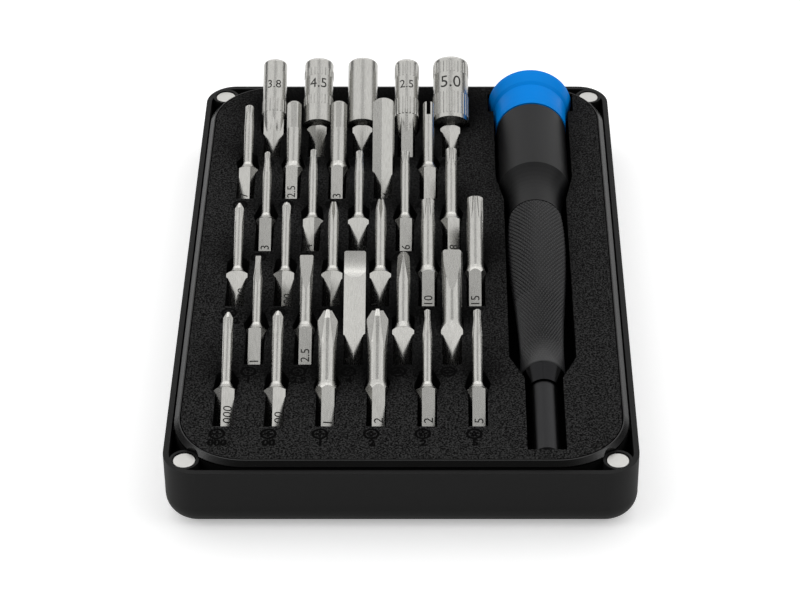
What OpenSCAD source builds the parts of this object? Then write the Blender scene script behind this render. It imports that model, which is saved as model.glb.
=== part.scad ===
// Precision screwdriver set: an open case base with a foam insert, thirty-two leaning bits and a driver.
// X runs to the right, Y away from the user, Z up. The origin is the middle of the underside.

/* [Case] */
// Outer width of the case
case_w = 83; // [82:0.5:90]
// Outer length of the case
case_l = 125; // [125:0.5:135]
// Height of the ledge that a lid would rest on
ledge_h = 12.5; // [12:0.1:14]
// Rise of the inner rim over the ledge
rim_rise = 1.2; // [0.6:0.1:2]
// Radius of the upright outer corners
corner_r = 6; // [5:0.5:8]
// Radius of the rounded bottom edge
edge_r = 4; // [2:0.5:4.5]
// Thickness of the floor
floor_t = 1.3; // [1:0.1:1.4]
// Thickness of the outer wall
wall_t = 1; // [0.8:0.1:1.2]
// Gap between the outer wall and the rim
groove_w = 0.4; // [0.3:0.1:0.6]
// Depth of that gap along the straight sides
groove_d = 2; // [1:0.5:4]
// Thickness of the rim
rim_t = 1; // [0.8:0.1:1.2]
// Chamfer along the rim's outer top edge
rim_chamfer = 0.8; // [0.4:0.1:0.8]
// Corner radius of the rim, large enough to leave room for the magnets
rim_corner_r = 13; // [13:0.1:13.5]
// Level of the floor of the cored corner pockets
core_floor = 3; // [2:0.5:6]

/* [Magnets] */
// Diameter of the corner magnets
magnet_d = 3.8; // [3:0.1:4]
// Thickness of the corner magnets
magnet_t = 2; // [1:0.5:3]
// Distance from a magnet's centre to the two outer walls
magnet_inset = 3.85; // [3.7:0.05:4]
// Outer diameter of the magnet bosses
boss_d = 5.2; // [4.8:0.1:5.2]

/* [Foam] */
// Gap between the foam and the rim
foam_gap = 0.2; // [0.1:0.1:0.5]
// Clearance round a bit's shank and at its butt
channel_gap = 0.1; // [0.1:0.01:0.12]
// Width of a pocket's mouth in the top of the foam
mouth_w = 3.5; // [3.4:0.1:3.6]
// Length of a pocket's mouth, from its front edge to the bit's axis
mouth_l = 11.6; // [11:0.1:12]

/* [Bits] */
// Width across the flats of the hexagon shanks
hex_af = 4; // [3.8:0.1:4.2]
// Usual length of a bit
bit_l = 28.3; // [27.5:0.1:28.5]
// Length of the hexagon shank
shank_l = 12.6; // [12:0.1:13]
// Length of the hollow collar between shank and shaft
collar_l = 2.4; // [2:0.1:2.6]
// Length of a bit below the top of the foam, along the bit
bit_sink = 14; // [13.5:0.5:14.5]
// Lean of the bits over the horizontal
bit_lean = 30; // [28:1:32]
// Distance between neighbouring bits of a row
bit_pitch = 9; // [8.8:0.1:9]
// Distance between rows of slim bits
row_pitch = 17.6; // [17:0.1:17.7]
// Distance from the rearmost row of slim bits to the row of socket bits
socket_pitch = 14.7; // [14.5:0.1:15]
// Distance from the front wall to the first row of pockets
row_inset = 11.5; // [11:0.5:12]
// Distance from the left wall to the first bit's axis
bit_inset = 10; // [9.5:0.5:10.5]

/* [Driver] */
// Distance from the right wall to the driver's axis
driver_side_inset = 16.1; // [16:0.1:17]
// Distance from the front wall to the free end of the driver's shaft
driver_front_inset = 5.3; // [5:0.1:5.3]
// Height of the driver's axis
driver_z = 11.3; // [11:0.1:11.6]
// Radius of the cap's wide end
cap_r = 8.6; // [8.5:0.05:8.6]
// Radius of the barrel
barrel_r = 7.05; // [7:0.05:7.1]
// Radius of the drive shaft
shaft_r = 2.65; // [2.6:0.05:2.75]
// Clearance between the turning cap and the handle
cap_gap = 0.35; // [0.3:0.05:0.5]
// Half the width of the recess beside the shaft
recess_shaft = 3.45; // [3.3:0.05:3.6]
// Half the width of the recess beside the grip
recess_grip = 6.1; // [6:0.05:6.2]
// Half the width of the recess beside the barrel
recess_barrel = 7.6; // [7.6:0.05:7.7]
// Free space under the driver
rest_gap = 0.25; // [0.2:0.05:0.3]
// Free space at the two ends of the driver and beside its cap
end_gap = 0.15; // [0.1:0.05:0.2]

/* [Hidden] */
$fn = 64;
// How far a cutting tool reaches past the surface it opens
over = 0.5;
foam_top = ledge_h + rim_rise;
rim_inset = wall_t + groove_w;
foam_inset = rim_inset + rim_t + foam_gap;
foam_corner_r = rim_corner_r - rim_t - foam_gap;
magnet_x = case_w / 2 - magnet_inset;
magnet_y = case_l / 2 - magnet_inset;
magnet_play = 0.4;
magnet_sink = 0.2;
notch_d = boss_d - 0.2;
hex_corner_r = hex_af / 2 / cos(30);
// A turned line at this radius leaves a hexagon bar's corners whole
hex_clear_r = hex_corner_r + 0.02;
// Height of the cone at the far end of a hexagon bar
bar_cone = 0.5;

// Heads of the socket bits
neck_r = 1.5;
neck_l = 0.4;
stem_r = hex_af / 2 - 0.1;
head_start = 13.7;
head_round = 0.7;
foot_chamfer = 0.3;
nut_foot_chamfer = 0.7;
head_gap = 0.25;
shoulder_l = 3;
nut_depth = 7;
rib_depth = 5;
pickup_magnet_t = 2;

// Stations along the driver, from the free end of its shaft to the end of its cap
collar_front = 18.9;
grip_front = 22.5;
grip_rear = 72.3;
barrel_front = 82.7;
barrel_rear = 103.7;
cap_front = 104.1;
cap_crease = 110.5;
cap_flange = 111.2;
driver_l = 114.6;

// Stations where the driver's recess changes its width, and where the cap's wider pocket starts
recess_narrow = 20;
recess_swell = 26;
recess_neck = 76.3;
recess_wide = 84.4;
cap_pocket = 108.2;

// Radii and depths along the driver
collar_r = 4;
collar_tip_r = 3;
grip_max_r = 5.7;
grip_core_r = 3;
tang_r = 1.9;
tang_end = 43;
spigot_r = 5.6;
spigot_end = 110;
pin_r = 1.25;
pin_start = 99;
pin_end = 112.8;
cap_lip_r = 7.15;
cap_neck_r = 7.45;
cap_flange_r = 7.9;
cap_round = 0.4;
socket_play = 0.05;
socket_depth = 10;
socket_magnet_d = 3.5;
socket_magnet_t = 2;

STEEL = [0.78, 0.78, 0.77];
BLACK = [0.1, 0.1, 0.11];
FOAM = [0.13, 0.13, 0.13];
BLUE = [0.06, 0.5, 0.9];

// Every bit: name, row from the rear, place in the row, roll of the shank, form of the tip,
// diameter of the shaft or head, size of the tip, length beyond the usual one
BITS = [
    ["socket_ribbed_small", 0, 0, 30, "ribbed_socket", 4.9, 3.4, 0],
    ["socket_ribbed_large", 0, 1, 20, "ribbed_socket", 5.9, 4.3, 0],
    ["pickup_head", 0, 2, 33, "pickup", 6.1, 4, 0],
    ["nut_socket_small", 0, 3, 4, "nut_socket", 4.9, 2.5, 0],
    ["nut_socket_large", 0, 4, 24, "nut_socket", 7.2, 5, 0],
    ["bit_star_7", 1, 0, -14, "star", 1.9, 1.7, -1],
    ["bit_hex_2_5", 1, 1, -4, "hex_key", 2.85, 2.6, -0.3],
    ["bit_hex_3", 1, 2, -4, "hex_key", 3.2, 3, -0.4],
    ["bit_hex_4", 1, 3, 22, "full_hex", 4, 4, 0],
    ["bit_prong", 1, 4, 8, "prong", 2.2, 0.8, -0.3],
    ["bit_star_3", 2, 0, 1, "star", 1.7, 1.15, -0.5],
    ["bit_star_4", 2, 1, -18, "star", 1.7, 1.35, 0],
    ["bit_star_5", 2, 2, 29, "star", 1.8, 1.5, -0.3],
    ["bit_star_6", 2, 3, 6, "star", 1.8, 1.75, -0.3],
    ["bit_star_8", 2, 4, 12, "star", 2.35, 2.3, 0.2],
    ["bit_point_000", 3, 0, 29, "cross", 1.75, 0.5, -0.5],
    ["bit_point_00", 3, 1, 20, "cross", 1.65, 0.9, -0.4],
    ["bit_wing_0", 3, 2, 24, "wing", 2, 1, -0.3],
    ["bit_wing_1", 3, 3, 32, "wing", 2.1, 1.2, 0.2],
    ["bit_star_10", 3, 4, 2, "star", 2.65, 2.6, 0.2],
    ["bit_star_15", 3, 5, -3, "star", 3.25, 3.2, 0.6],
    ["bit_flat_1", 4, 0, -4, "flat", 1.7, 1.1, -0.3],
    ["bit_flat_2_5", 4, 1, 4, "flat", 2.3, 2.6, -0.2],
    ["bit_flat_4", 4, 2, 32, "full_flat", 4, 0.8, 0.6],
    ["bit_triangle", 4, 3, 31, "triangle", 2.5, 2.2, 0.4],
    ["bit_oval", 4, 4, 29, "oval", 3.6, 3.8, 0.7],
    ["bit_cross_000", 5, 0, 16, "cross", 1.85, 0.6, -0.2],
    ["bit_cross_00", 5, 1, 19, "cross", 1.95, 0.8, 0],
    ["bit_cross_1", 5, 2, 10, "cross", 3.2, 1.5, 0.1],
    ["bit_cross_2", 5, 3, -50, "cross", 3.45, 2.1, 0.1],
    ["bit_lobe_2", 5, 4, 6, "lobe", 1.75, 1.1, 0.3],
    ["bit_lobe_5", 5, 5, 5, "lobe", 1.9, 1.4, 0.3]
];
BIT_NAME = 0;
BIT_ROW = 1;
BIT_PLACE = 2;
BIT_ROLL = 3;
BIT_FORM = 4;
BIT_SIZE = 5;
BIT_TIP = 6;
BIT_EXTRA = 7;
SLIM_ROWS = 5;
PICKUP = [for (b = BITS) if (b[BIT_FORM] == "pickup") b][0];

// Every corner magnet: name, side in X, side in Y
MAGNETS = [
    ["magnet_front_left", -1, -1],
    ["magnet_front_right", 1, -1],
    ["magnet_rear_left", -1, 1],
    ["magnet_rear_right", 1, 1]
];

// Front edge of a row's pockets, rows counted from the rear
function row_y(row) =
    row == 0
        ? row_y(1) + socket_pitch
        : -case_l / 2 + row_inset + (SLIM_ROWS - row) * row_pitch;

// Every second row is shifted by half a pitch
function bit_x(row, place) = -case_w / 2 + bit_inset + (place + (row % 2 == 0 ? 0.5 : 0)) * bit_pitch;

function has_head(form) = form == "ribbed_socket" || form == "nut_socket" || form == "pickup";

// A slim head is hardly thicker than the shank
function is_slim(head_d) = head_d < 1.25 * hex_af;

// Cubic curve through the first and last of four values
function curve(p, t) =
    pow(1 - t, 3) * p[0] + 3 * pow(1 - t, 2) * t * p[1] + 3 * (1 - t) * pow(t, 2) * p[2] + pow(t, 3) * p[3];

// Points of a turned line whose radius follows that curve between two stations
function turned_line(radii, from, to, steps) =
    [for (k = [0:steps]) [curve(radii, k / steps), from + (to - from) * k / steps]];

// Plain shapes

module rounded_rect(w, l, r) {
    square([w - 2 * r, l], center = true);
    square([w, l - 2 * r], center = true);
    for (sx = [-1, 1], sy = [-1, 1])
        translate([sx * (w / 2 - r), sy * (l / 2 - r)])
            circle(r);
}

// Quarter of a disc, as a rounding
module quarter_disc(r) {
    intersection() {
        circle(r);
        square(r);
    }
}

// Half section of a block with a rounded lower edge, from the middle line out to reach
module edge_section(reach, h) {
    square([reach - edge_r, h]);
    translate([0, edge_r])
        square([reach, h - edge_r]);
    translate([reach - edge_r, edge_r])
        mirror([0, 1])
            quarter_disc(edge_r);
}

// The same with a chamfered upper edge
module chamfer_section(reach, h) {
    polygon([
        [0, 0],
        [reach, 0],
        [reach, h - rim_chamfer],
        [reach - rim_chamfer, h],
        [0, h]
    ]);
}

module half_section(edge, reach, h) {
    if (edge == "round") edge_section(reach, h);
    else chamfer_section(reach, h);
}

module full_section(edge, reach, h) {
    half_section(edge, reach, h);
    mirror([1, 0])
        half_section(edge, reach, h);
}

// Block with round upright corners and that edge all round
module edged_block(edge, w, l, h, r) {
    rotate([90, 0, 0])
        linear_extrude(l - 2 * r, center = true)
            full_section(edge, w / 2, h);
    rotate([90, 0, 90])
        linear_extrude(w - 2 * r, center = true)
            full_section(edge, l / 2, h);
    for (sx = [-1, 1], sy = [-1, 1])
        translate([sx * (w / 2 - r), sy * (l / 2 - r), 0])
            rotate_extrude()
                half_section(edge, r, h);
}

module at_magnets() {
    for (m = MAGNETS)
        translate([m[1] * magnet_x, m[2] * magnet_y, 0])
            children();
}

// Case

module inset_outline(inset, r) {
    rounded_rect(case_w - 2 * inset, case_l - 2 * inset, r);
}

// Space between the outer wall and the rim: a slot along the sides, a wide pocket in each corner
module groove_outline() {
    difference() {
        inset_outline(wall_t, corner_r - wall_t);
        inset_outline(rim_inset, rim_corner_r);
        at_magnets()
            circle(d = boss_d);
    }
}

module corner_squares() {
    side = rim_inset + rim_corner_r;
    for (sx = [-1, 1], sy = [-1, 1])
        translate([sx * (case_w - side) / 2, sy * (case_l - side) / 2])
            square(side, center = true);
}

module case_base() {
    color(BLACK)
    difference() {
        union() {
            edged_block("round", case_w, case_l, ledge_h, corner_r);
            translate([0, 0, ledge_h - groove_d])
                edged_block("chamfer", case_w - 2 * rim_inset, case_l - 2 * rim_inset,
                            groove_d + rim_rise, rim_corner_r);
        }
        translate([0, 0, floor_t])
            linear_extrude(foam_top)
                inset_outline(rim_inset + rim_t, rim_corner_r - rim_t);
        translate([0, 0, ledge_h - groove_d])
            linear_extrude(groove_d + over)
                groove_outline();
        translate([0, 0, core_floor])
            linear_extrude(ledge_h)
                intersection() {
                    groove_outline();
                    corner_squares();
                }
        at_magnets() {
            translate([0, 0, ledge_h - magnet_sink - magnet_t])
                cylinder(d = magnet_d + magnet_play, h = magnet_t + over);
            translate([0, 0, ledge_h])
                cylinder(d = notch_d, h = rim_rise + over);
        }
    }
}

module corner_magnet(m) {
    color(STEEL)
    translate([m[1] * magnet_x, m[2] * magnet_y, ledge_h - magnet_sink - magnet_t])
        cylinder(d = magnet_d, h = magnet_t);
}

// Foam

// Point where a bit's axis meets the top of the foam
module at_mouth(b) {
    translate([bit_x(b[BIT_ROW], b[BIT_PLACE]), row_y(b[BIT_ROW]) + mouth_l, foam_top])
        children();
}

// A bit's own axis there, with its tip up and away
module along_bit(b) {
    at_mouth(b)
        rotate([bit_lean - 90, 0, 0])
            children();
}

// Mouth over a shank, narrower than the shank: the foam between the bit's axis and the top is cut away
module pocket_mouth() {
    rotate([90, 0, 90])
        linear_extrude(mouth_w, center = true)
            polygon([
                [-mouth_l, over],
                [-mouth_l, -mouth_l * tan(bit_lean)],
                [over / tan(bit_lean), over]
            ]);
}

// Bore from the butt up through the top of the foam, through which the hexagon shank slides out
module shank_bore(roll) {
    translate([0, 0, -bit_sink - channel_gap])
        rotate(roll)
            cylinder(r = hex_corner_r + channel_gap / cos(30), h = 2 * bit_sink, $fn = 6);
}

// Wider bore for the lower end of a head, or for the long cone under a slim one
module head_bore(head_d) {
    start = is_slim(head_d) ? shank_l - collar_l : head_start;
    translate([0, 0, start - bit_sink - head_gap])
        cylinder(d = head_d + 2 * head_gap, h = bit_sink);
}

module bit_pocket(b) {
    at_mouth(b)
        pocket_mouth();
    along_bit(b) {
        shank_bore(b[BIT_ROLL]);
        if (has_head(b[BIT_FORM]))
            head_bore(b[BIT_SIZE]);
    }
}

module at_driver() {
    translate([case_w / 2 - driver_side_inset, driver_front_inset - case_l / 2, 0])
        children();
}

// Outline of the recess along the driver, up to the cap
module recess_outline() {
    side = [
        [recess_shaft, -end_gap],
        [recess_shaft, recess_narrow],
        [recess_grip, recess_swell],
        [recess_grip, recess_neck],
        [recess_barrel, recess_wide],
        [recess_barrel, cap_pocket + over]
    ];
    polygon(concat(side, [for (k = [len(side) - 1:-1:0]) [-side[k][0], side[k][1]]]));
}

// One step of the recess: its part behind a station, down to a radius below the axis
module recess_step(from, r) {
    level = driver_z - r - rest_gap;
    translate([0, 0, level])
        linear_extrude(foam_top - level + over)
            intersection() {
                recess_outline();
                translate([-cap_r, from])
                    square([2 * cap_r, driver_l]);
            }
}

module driver_recess() {
    at_driver() {
        recess_step(-end_gap, shaft_r);
        recess_step(collar_front - over, grip_max_r);
        recess_step((grip_rear + barrel_front) / 2, barrel_r);
        recess_step(cap_front - over, cap_neck_r);
        translate([-cap_r - end_gap, cap_pocket, driver_z - cap_r - rest_gap])
            cube([2 * (cap_r + end_gap), driver_l + end_gap - cap_pocket, foam_top]);
    }
}

module foam_insert() {
    color(FOAM)
    difference() {
        translate([0, 0, floor_t])
            linear_extrude(foam_top - floor_t)
                inset_outline(foam_inset, foam_corner_r);
        for (b = BITS)
            bit_pocket(b);
        driver_recess();
    }
}

// Bits, built upright from the butt at zero to the tip

// Hexagon bar with a chamfer at the butt, turned down at its far end along a line of radii and places
module hex_bar(end_line) {
    chamfer = 0.4;
    far = end_line[len(end_line) - 1][1];
    intersection() {
        cylinder(r = hex_corner_r, h = far, $fn = 6);
        rotate_extrude()
            polygon(concat(
                [[0, 0], [hex_corner_r - chamfer, 0], [hex_clear_r, chamfer]],
                end_line,
                [[0, far]]
            ));
    }
}

// Hexagon bar whose far end is turned down in a plain cone
module coned_bar(length) {
    hex_bar([[hex_clear_r, length - bar_cone], [hex_corner_r - bar_cone, length]]);
}

// Shank whose collar runs out into a shaft in a hollow curve, and dips into it
module hex_shank(root_r) {
    swell = 0.3;
    dip = 0.1;
    collar_radii = [hex_clear_r, root_r + swell, root_r, root_r - dip];
    hex_bar(turned_line(collar_radii, shank_l, shank_l + collar_l, 4));
}

// Shank under a head: it ends inside a slim head, or below the neck of a thick one
module headed_shank(head_d) {
    coned_bar(head_start + (is_slim(head_d) ? shoulder_l : -neck_l));
}

// Round shaft that changes to a second diameter and ends in a blunt cone
module shaft(shaft_d, tip_d, taper_l, tip_l, point_d, point_l) {
    rotate_extrude()
        polygon([
            [0, shank_l],
            [shaft_d / 2, shank_l],
            [shaft_d / 2, bit_l - tip_l - taper_l],
            [tip_d / 2, bit_l - tip_l],
            [tip_d / 2, bit_l - point_l],
            [point_d / 2, bit_l],
            [0, bit_l]
        ]);
}

// Tools that grind the tip: each leans out from the point, so that its cut runs out along the shaft
module ground_round(count, inset, slant) {
    for (k = [0:count - 1])
        rotate(360 / count * k)
            translate([inset, 0, bit_l])
                rotate([0, -slant, 0])
                    translate([0, 0, over - shank_l])
                        linear_extrude(shank_l)
                            children();
}

// Round grooves between the lobes of a star
module flute_cuts(count, inset, r, slant) {
    ground_round(count, inset, slant)
        circle(r);
}

// Flat faces
module face_cuts(count, inset, slant) {
    ground_round(count, inset, slant)
        translate([0, -hex_af])
            square([hex_af, 2 * hex_af]);
}

// Hollow faces left by a grinding wheel, deepest a little behind the point
module wheel_cuts(count, inset, wheel_r, back) {
    for (k = [0:count - 1])
        rotate(360 / count * k)
            translate([inset + wheel_r, 0, bit_l - back])
                rotate([90, 0, 0])
                    cylinder(r = wheel_r, h = 2 * hex_af, center = true);
}

// Square-cornered notches that leave wings between them
module notch_cuts(count, inset, slant) {
    ground_round(count, inset, slant)
        rotate(-45)
            square(hex_af);
}

module star_tip(shaft_d, size) {
    difference() {
        shaft(shaft_d, size, 2.6, 2, 0.75 * size, 0.25);
        flute_cuts(6, 0.55 * size, 0.18 * size, 5);
    }
}

module lobe_tip(shaft_d, size) {
    difference() {
        shaft(shaft_d, size, 3, 1.8, 0.7 * size, 0.2);
        flute_cuts(5, 0.58 * size, 0.2 * size, 4);
    }
}

// Cross point with four wings; a thick one flares before its point
module cross_tip(shaft_d, size) {
    shoulder_d = shaft_d > 3 ? 1.14 * shaft_d : shaft_d;
    difference() {
        shaft(shaft_d, shoulder_d, 4, 2.6, size, 0.95 * (shoulder_d - size));
        rotate(45)
            notch_cuts(4, 0.12 * shaft_d, 9);
    }
}

module wing_tip(shaft_d, size) {
    difference() {
        shaft(shaft_d, shaft_d, 1, 3, size, 2.2);
        rotate(30)
            notch_cuts(3, 0.14 * shaft_d, 9);
    }
}

module triangle_tip(shaft_d, size) {
    difference() {
        shaft(shaft_d, shaft_d, 1, 3, 0.5 * size, 0.5);
        rotate(90)
            face_cuts(3, 0.27 * size, 6);
    }
}

module hex_key_tip(shaft_d, size) {
    key_l = 6;
    intersection() {
        shaft(shaft_d, shaft_d, 1, key_l, 0.85 * size, 0.4);
        union() {
            cylinder(d = size / cos(30), h = bit_l + over, $fn = 6);
            cylinder(d = hex_af, h = bit_l - key_l);
        }
    }
}

module flat_tip(shaft_d, size) {
    difference() {
        shaft(shaft_d, size, 3, 1.6, 0.9 * size, 0.2);
        rotate(90)
            face_cuts(2, 0.1 * size + 0.12, 6);
    }
}

module oval_tip(shaft_d, size) {
    difference() {
        shaft(shaft_d, size, 3, 3, size - 0.6, 0.3);
        rotate(90)
            face_cuts(2, 0.22 * size, 6.5);
    }
}

module prong_tip(shaft_d, size) {
    prong_l = 3;
    difference() {
        shaft(shaft_d, shaft_d, 1, prong_l, shaft_d - 0.3, 0.2);
        translate([-size / 2, -hex_af, bit_l - prong_l])
            cube([size, 2 * hex_af, prong_l + over]);
    }
}

// Head with a rounded end: a slim one grows out of the shank in a cone, a thick one sits on a short neck
module head(head_d, foot_l) {
    r = head_d / 2;
    root = shank_l - collar_l;
    end_r = r - head_round;
    end = bit_l - head_round;
    foot = is_slim(head_d)
        ? [[stem_r, root], [r, head_start + shoulder_l]]
        : [[neck_r, root], [neck_r, head_start], [r - foot_l, head_start], [r, head_start + foot_l]];
    rotate_extrude() {
        polygon(concat([[0, root]], foot, [[r, end], [end_r, end], [end_r, bit_l], [0, bit_l]]));
        translate([end_r, end])
            quarter_disc(head_round);
    }
}

module nut_socket_head(head_d, size) {
    difference() {
        head(head_d, nut_foot_chamfer);
        translate([0, 0, bit_l - nut_depth])
            cylinder(d = size / cos(30) + 2 * socket_play, h = nut_depth + over, $fn = 6);
    }
}

// Round socket with six ribs inside
module ribbed_socket_head(head_d, size) {
    difference() {
        head(head_d, foot_chamfer);
        translate([0, 0, bit_l - rib_depth])
            linear_extrude(rib_depth + over)
                difference() {
                    circle(d = size);
                    for (k = [0:5])
                        rotate(60 * k)
                            translate([size / 2, 0])
                                circle(0.08 * size);
                }
    }
}

module pickup_shape(head_d, size) {
    difference() {
        head(head_d, foot_chamfer);
        translate([0, 0, bit_l - pickup_magnet_t])
            cylinder(d = size, h = pickup_magnet_t + over);
    }
}

module tip(form, d, size) {
    if (form == "star") star_tip(d, size);
    if (form == "lobe") lobe_tip(d, size);
    if (form == "cross") cross_tip(d, size);
    if (form == "wing") wing_tip(d, size);
    if (form == "triangle") triangle_tip(d, size);
    if (form == "hex_key") hex_key_tip(d, size);
    if (form == "flat") flat_tip(d, size);
    if (form == "oval") oval_tip(d, size);
    if (form == "prong") prong_tip(d, size);
    if (form == "nut_socket") nut_socket_head(d, size);
    if (form == "ribbed_socket") ribbed_socket_head(d, size);
    if (form == "pickup") pickup_shape(d, size);
}

module bit_shape(b) {
    form = b[BIT_FORM];
    if (form == "full_hex") {
        rotate(b[BIT_ROLL])
            coned_bar(bit_l + b[BIT_EXTRA]);
    } else if (form == "full_flat") {
        difference() {
            rotate(b[BIT_ROLL])
                coned_bar(bit_l + b[BIT_EXTRA]);
            translate([0, 0, b[BIT_EXTRA]])
                rotate(90)
                    wheel_cuts(2, b[BIT_TIP] / 2, 9, 1);
        }
    } else {
        rotate(b[BIT_ROLL])
            if (has_head(form)) headed_shank(b[BIT_SIZE]);
            else hex_shank(b[BIT_SIZE] / 2);
        translate([0, 0, b[BIT_EXTRA]])
            tip(form, b[BIT_SIZE], b[BIT_TIP]);
    }
}

module bit(b) {
    color(STEEL)
    along_bit(b)
        translate([0, 0, -bit_sink])
            bit_shape(b);
}

// Magnet in the end of the pick-up bit
module pickup_magnet() {
    color(BLACK)
    along_bit(PICKUP)
        translate([0, 0, bit_l - bit_sink - pickup_magnet_t])
            cylinder(d = PICKUP[BIT_TIP], h = pickup_magnet_t);
}

// Driver, turned about its own axis and laid along Y

module along_driver() {
    at_driver()
        translate([0, 0, driver_z])
            rotate([-90, 0, 0])
                children();
}

// Outer line of the grip: a small flare at the front, a slim waist and a soft swell towards the rear
grip_radii = [4.2, 3.3, 6.9, 5.2];
grip_line = turned_line(grip_radii, grip_front, grip_rear, 24);

// Hollow line of the neck between the grip and the barrel
neck_radii = [5.2, 5.2, 5.3, barrel_r];
neck_line = turned_line(neck_radii, grip_rear, barrel_front, 10);

module handle_core() {
    color(BLACK)
    along_driver()
        difference() {
            rotate_extrude()
                polygon(concat(
                    [[0, grip_front], [grip_core_r, grip_front], [grip_core_r, grip_rear]],
                    neck_line,
                    [[barrel_r, barrel_rear], [spigot_r, barrel_rear]],
                    [[spigot_r, spigot_end], [0, spigot_end]]
                ));
            translate([0, 0, grip_front - over])
                cylinder(r = tang_r, h = tang_end - grip_front + over);
            translate([0, 0, pin_start])
                cylinder(r = pin_r, h = spigot_end - pin_start + over);
        }
}

module grip_sleeve() {
    color(BLACK)
    along_driver()
        rotate_extrude()
            polygon(concat([[grip_core_r, grip_front]], grip_line, [[grip_core_r, grip_rear]]));
}

module nose_collar() {
    color(BLACK)
    along_driver()
        rotate_extrude()
            polygon([
                [shaft_r, collar_front],
                [collar_tip_r, collar_front],
                [collar_r, grip_front],
                [shaft_r, grip_front]
            ]);
}

// Tube with a hexagon socket at its free end, a magnet's seat behind it and a thinner tang in the handle
module drive_shaft() {
    chamfer = 0.2;
    color(BLACK)
    along_driver()
        difference() {
            rotate_extrude()
                polygon([
                    [0, 0],
                    [shaft_r - chamfer, 0],
                    [shaft_r, chamfer],
                    [shaft_r, grip_front],
                    [tang_r, grip_front],
                    [tang_r, tang_end],
                    [0, tang_end]
                ]);
            translate([0, 0, -over])
                cylinder(r = hex_corner_r + socket_play, h = socket_depth + over, $fn = 6);
            cylinder(d = socket_magnet_d, h = socket_depth + socket_magnet_t);
        }
}

module socket_magnet() {
    color(STEEL)
    along_driver()
        translate([0, 0, socket_depth])
            cylinder(d = socket_magnet_d, h = socket_magnet_t);
}

module cap_pivot_pin() {
    color(STEEL)
    along_driver()
        translate([0, 0, pin_start])
            cylinder(r = pin_r, h = pin_end - pin_start);
}

// Cap with a neck, a crease and a flange that widens to its end, hollow to turn on the handle's spigot
module swivel_cap() {
    cap_radii = [cap_lip_r, cap_neck_r - 0.05, cap_neck_r - 0.1, cap_neck_r];
    flange_radii = [cap_flange_r, cap_flange_r + 0.3, cap_r - 0.1, cap_r];
    color(BLUE)
    along_driver()
        difference() {
            rotate_extrude() {
                polygon(concat(
                    [[0, cap_front]],
                    turned_line(cap_radii, cap_front, cap_crease, 4),
                    turned_line(flange_radii, cap_flange, driver_l - cap_round, 6),
                    [
                        [cap_r - cap_round, driver_l - cap_round],
                        [cap_r - cap_round, driver_l],
                        [0, driver_l]
                    ]
                ));
                translate([cap_r - cap_round, driver_l - cap_round])
                    quarter_disc(cap_round);
            }
            translate([0, 0, cap_front - over])
                cylinder(r = spigot_r + cap_gap, h = spigot_end + cap_gap - cap_front + over);
            translate([0, 0, cap_front])
                cylinder(r = pin_r + cap_gap, h = pin_end + cap_gap - cap_front);
        }
}

case_base();
foam_insert();
for (m = MAGNETS) corner_magnet(m);
handle_core();
grip_sleeve();
nose_collar();
drive_shaft();
socket_magnet();
cap_pivot_pin();
swivel_cap();
for (b = BITS) bit(b);
pickup_magnet();
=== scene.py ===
"""Looks of a precision screwdriver set: a black case with foam, steel bits and a driver with a blue cap."""

import math

import bmesh
import bpy
import numpy as np
from bpy.props import FloatProperty, FloatVectorProperty, IntProperty, PointerProperty, StringProperty
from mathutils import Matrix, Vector


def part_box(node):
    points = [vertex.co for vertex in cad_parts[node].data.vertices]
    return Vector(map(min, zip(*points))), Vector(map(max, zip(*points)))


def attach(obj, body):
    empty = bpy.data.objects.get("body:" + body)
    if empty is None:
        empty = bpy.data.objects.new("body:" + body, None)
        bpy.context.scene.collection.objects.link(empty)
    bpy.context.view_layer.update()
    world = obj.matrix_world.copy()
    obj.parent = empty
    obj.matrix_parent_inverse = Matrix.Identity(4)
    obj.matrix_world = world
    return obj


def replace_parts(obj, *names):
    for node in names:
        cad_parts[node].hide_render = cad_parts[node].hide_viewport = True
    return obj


bl_info = {
    "name": "Precision screwdriver set",
    "version": (1, 0, 0),
    "blender": (4, 5, 0),
    "location": "View3D > Sidebar > Driver set",
    "description": "Dresses a packed screwdriver set: materials, knurled grip, marks and studio",
    "category": "Object",
}

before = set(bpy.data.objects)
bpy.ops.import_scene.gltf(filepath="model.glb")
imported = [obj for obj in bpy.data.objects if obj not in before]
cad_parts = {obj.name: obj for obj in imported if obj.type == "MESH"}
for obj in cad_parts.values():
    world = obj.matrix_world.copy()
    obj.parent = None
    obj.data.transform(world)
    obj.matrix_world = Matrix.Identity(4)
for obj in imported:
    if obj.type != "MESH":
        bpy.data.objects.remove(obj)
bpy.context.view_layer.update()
MM = 0.001

BIT_NODES = [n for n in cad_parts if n.startswith(("bit_", "nut_", "socket_ribbed", "pickup_head"))]
MAGNET_NODES = [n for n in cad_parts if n.startswith("magnet_")]

# Every bit rises to the rear at this angle to the foam: the way along it, and the way out of its upper side
BIT_LEAN = math.radians(30)
ALONG_BIT = np.array([0, math.cos(BIT_LEAN), math.sin(BIT_LEAN)])
OUT_OF_BIT = np.array([0, -math.sin(BIT_LEAN), math.cos(BIT_LEAN)])

# Level of the ledge from which the case's rim rises, and the height over which the rim's polish begins
RIM_FOOT = 12.5 * MM
POLISH_START = 0.1 * MM

# Length of the hexagon shank that all bits share
SHANK = 12.6 * MM

# A facet is a side of the shank if its unit normal leans along the axis by less than this
LEANS_BELOW = 0.01

# One facet looks up more than another only if its normal does by more than this
LOOKS_UP_BY = 1e-4

# Points of a turned node that lie this close along its axis are on one ring
RING_WITHIN = 1e-5

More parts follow.
